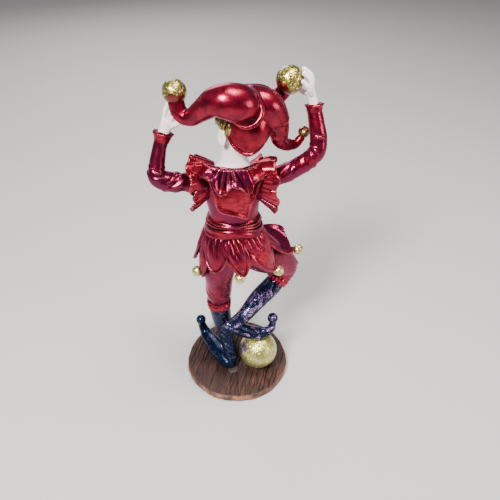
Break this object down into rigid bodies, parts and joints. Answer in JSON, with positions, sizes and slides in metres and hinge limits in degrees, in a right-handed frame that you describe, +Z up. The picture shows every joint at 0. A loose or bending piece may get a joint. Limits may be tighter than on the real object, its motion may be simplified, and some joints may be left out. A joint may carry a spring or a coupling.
{
  "type": "jester figurine",
  "caption": "Cast figurine of a jester balancing on one leg with a toe on a ball, arms raised to a horned hat, on a round plank plinth.",
  "frame": {"origin": "middle of the plinth's underside", "axes": "+Z up, the jester faces -Y, +X is its own left side"},
  "size_m": [0.0813, 0.0632, 0.1914],
  "materials": {
    "red_lacquer": "pearl red lacquer on cast resin",
    "wood_brown": "dark stained plank, worn at the rim",
    "gold_glitter": "gold glitter under clear varnish",
    "white_skin": "off-white satin paint",
    "navy_tights": "navy gloss with lilac glitter"
  },
  "bodies": {
    "root": {"jester": "red_lacquer", "plinth": "wood_brown", "floor_ball": "gold_glitter"}
  },
  "joints": []
}
